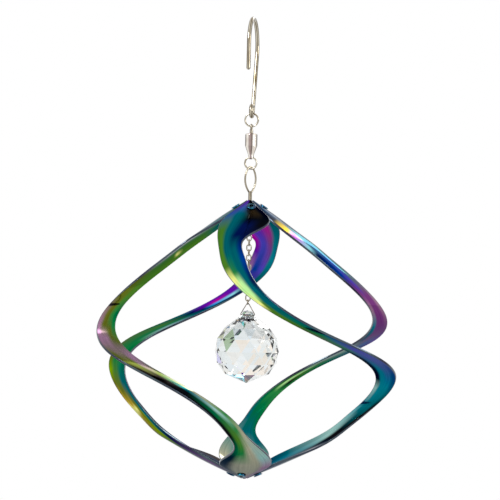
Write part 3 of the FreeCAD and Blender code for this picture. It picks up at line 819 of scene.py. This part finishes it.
def crystal_glass():
    """Clear glass whose tone is picked facet by facet, with a painted flash where a facet faces its
    direction.
    """
    finish, tree, shader = new_finish("cut_crystal")
    place = add_node(tree, "ShaderNodeTexCoord")
    facet = add_node(tree, "ShaderNodeVectorMath", settings={"operation": "SNAP"}, inputs={
        0: place.outputs["Normal"], 1: (0.043, 0.043, 0.043),
    })
    pick = add_node(tree, "ShaderNodeTexWhiteNoise", settings={"noise_dimensions": "3D"}, inputs={
        "Vector": facet.outputs["Vector"],
    })
    tint = add_node(tree, "ShaderNodeValToRGB", inputs={"Fac": pick.outputs["Value"]})
    set_ramp(tint.color_ramp, [
        (0.00, display(246, 248, 247)), (0.30, display(234, 238, 236)), (0.56, display(222, 227, 225)),
        (0.76, display(240, 234, 224)), (0.86, display(226, 234, 238)), (0.95, display(206, 222, 232)),
    ], "CONSTANT")
    colour = tint.outputs["Color"]
    for facing, flash in crystal_flashes:
        near = add_node(tree, "ShaderNodeVectorMath", settings={"operation": "DOT_PRODUCT"}, inputs={
            0: place.outputs["Normal"], 1: facing,
        })
        caught = add_node(tree, "ShaderNodeMath", settings={"operation": "GREATER_THAN"}, inputs={
            0: near.outputs["Value"], 1: flash_reach,
        })
        mixed = add_node(tree, "ShaderNodeMix", settings={"data_type": "RGBA"}, inputs={
            0: caught.outputs["Value"], 6: colour, 7: flash,
        })
        colour = mixed.outputs[2]
    tree.links.new(colour, shader.inputs["Base Color"])
    shader.inputs["Roughness"].default_value = 0.0
    shader.inputs["IOR"].default_value = 1.54
    shader.inputs["Transmission Weight"].default_value = 1.0
    return finish


dress(["crystal"], crystal_glass())


# -------------------------------------------------------------- light and view
# The spinner hangs in a white studio: a pale floor well below it, soft lamps above
# and to the sides, and two dark cards that only the glass shows.
def flat_card(name, centre, right, up):
    """A flat card of four corners round a centre, from its two half sides."""
    centre, right, up = np.array(centre), np.array(right), np.array(up)
    corners = [centre - right - up, centre + right - up, centre + right + up, centre - right + up]
    mesh = bpy.data.meshes.new(name)
    mesh.from_pydata([tuple(corner) for corner in corners], [], [(0, 1, 2, 3)])
    card = bpy.data.objects.new(name, mesh)
    bpy.context.scene.collection.objects.link(card)
    return card


floor = flat_card("studio_floor", (0.0, 0.0, -0.40), (0.55, 0.0, 0.0), (0.0, 0.55, 0.0))
floor_paint, floor_tree, floor_shader = new_finish("pale_floor")
floor_place = add_node(floor_tree, "ShaderNodeTexCoord")
floor_noise = add_node(floor_tree, "ShaderNodeTexNoise", inputs={
    "Vector": floor_place.outputs["Object"], "Scale": 8.0,
})
floor_tone = add_node(floor_tree, "ShaderNodeMapRange", inputs={
    "Value": floor_noise.outputs["Fac"], "To Min": 0.86, "To Max": 0.92,
})
floor_tree.links.new(floor_tone.outputs["Result"], floor_shader.inputs["Base Color"])
floor_shader.inputs["Roughness"].default_value = 0.7
floor.data.materials.append(floor_paint)

grey_felt, _, felt_shader = new_finish("grey_felt")
felt_shader.inputs["Base Color"].default_value = display(70, 62, 54)
felt_shader.inputs["Roughness"].default_value = 0.9
for name, centre, right, up in (
    ("card_left", (-0.62, -0.62, -0.10), (0.07, -0.07, 0.0), (0.0, 0.0, 0.42)),
    ("card_right", (0.60, -0.72, -0.10), (0.07, 0.06, 0.0), (0.0, 0.0, 0.42)),
):
    card = flat_card(name, centre, right, up)
    card.data.materials.append(grey_felt)
    card.visible_camera = False
    card.visible_diffuse = False
    card.visible_glossy = False

world = bpy.data.worlds.new("white_studio")
bpy.context.scene.world = world
world.use_nodes = True
sky = world.node_tree
path = add_node(sky, "ShaderNodeLightPath")
seen = add_node(sky, "ShaderNodeMath", settings={"operation": "MAXIMUM"}, inputs={
    0: path.outputs["Is Camera Ray"], 1: path.outputs["Is Glossy Ray"],
})
seen_all = add_node(sky, "ShaderNodeMath", settings={"operation": "MAXIMUM"}, inputs={
    0: seen.outputs["Value"], 1: path.outputs["Is Transmission Ray"],
})
level = add_node(sky, "ShaderNodeMapRange", inputs={
    "Value": seen_all.outputs["Value"], "To Min": 0.55, "To Max": 1.0,
})
sky.nodes["Background"].inputs["Color"].default_value = (1.0, 1.0, 1.0, 1.0)
sky.links.new(level.outputs["Result"], sky.nodes["Background"].inputs["Strength"])


def placed(right, above, back, place):
    """The matrix of something whose own X, Y and Z are these three directions."""
    rows = np.stack([right, above, back, place], 1)
    return Matrix([*rows.tolist(), [0.0, 0.0, 0.0, 1.0]])


def soft_lamp(name, place, target, size, power):
    """A square soft lamp aimed at a target and hidden from the camera."""
    light = bpy.data.lights.new(name, "AREA")
    light.size = size
    light.energy = power
    lamp = bpy.data.objects.new(name, light)
    bpy.context.scene.collection.objects.link(lamp)
    away = unit(np.array(place) - np.array(target))
    side = unit(np.cross([0.0, 0.0, 1.0], away))
    lamp.matrix_world = placed(side, np.cross(away, side), away, place)
    lamp.visible_camera = False
    return lamp


heart = (0.0, 0.0, -0.14)
soft_lamp("key_lamp", (-0.45, -0.55, 0.45), heart, 0.30, 3.2)
soft_lamp("fill_lamp", (0.65, -0.25, 0.15), heart, 0.35, 1.6)
soft_lamp("back_lamp", (0.20, 0.70, 0.35), heart, 0.35, 1.6)

# The camera looks along the cage a little above its widest level, from 9 degrees
# off the hook's plane, and leans slightly, as the hanging cage does.
view_turn = np.radians(9.0)
view_drop = 0.0123
view_roll = np.radians(1.2)
distance = 0.9353
width_seen = 0.2325
view_right = 0.001395
view_up = 0.043803
right_flat = np.array([np.cos(view_turn), np.sin(view_turn), 0.0])
ahead_flat = np.array([-np.sin(view_turn), np.cos(view_turn), 0.0])
upright = np.array([0.0, 0.0, 1.0])
ahead = ahead_flat * np.cos(view_drop) - upright * np.sin(view_drop)
above = ahead_flat * np.sin(view_drop) + upright * np.cos(view_drop)
right = right_flat * np.cos(view_roll) + above * np.sin(view_roll)
above = above * np.cos(view_roll) - right_flat * np.sin(view_roll)
cage_middle = np.array([0.0, 0.0, -0.15025])
eye = cage_middle - ahead * distance + right * view_right + above * view_up
lens = bpy.data.cameras.new("camera")
lens.sensor_width = 36.0
lens.lens = distance / width_seen * lens.sensor_width
lens.clip_start, lens.clip_end = 0.01, 20.0
camera = bpy.data.objects.new("camera", lens)
bpy.context.scene.collection.objects.link(camera)
camera.matrix_world = placed(right, above, -ahead, eye)
bpy.context.scene.camera = camera
bpy.context.scene.view_settings.view_transform = "Standard"
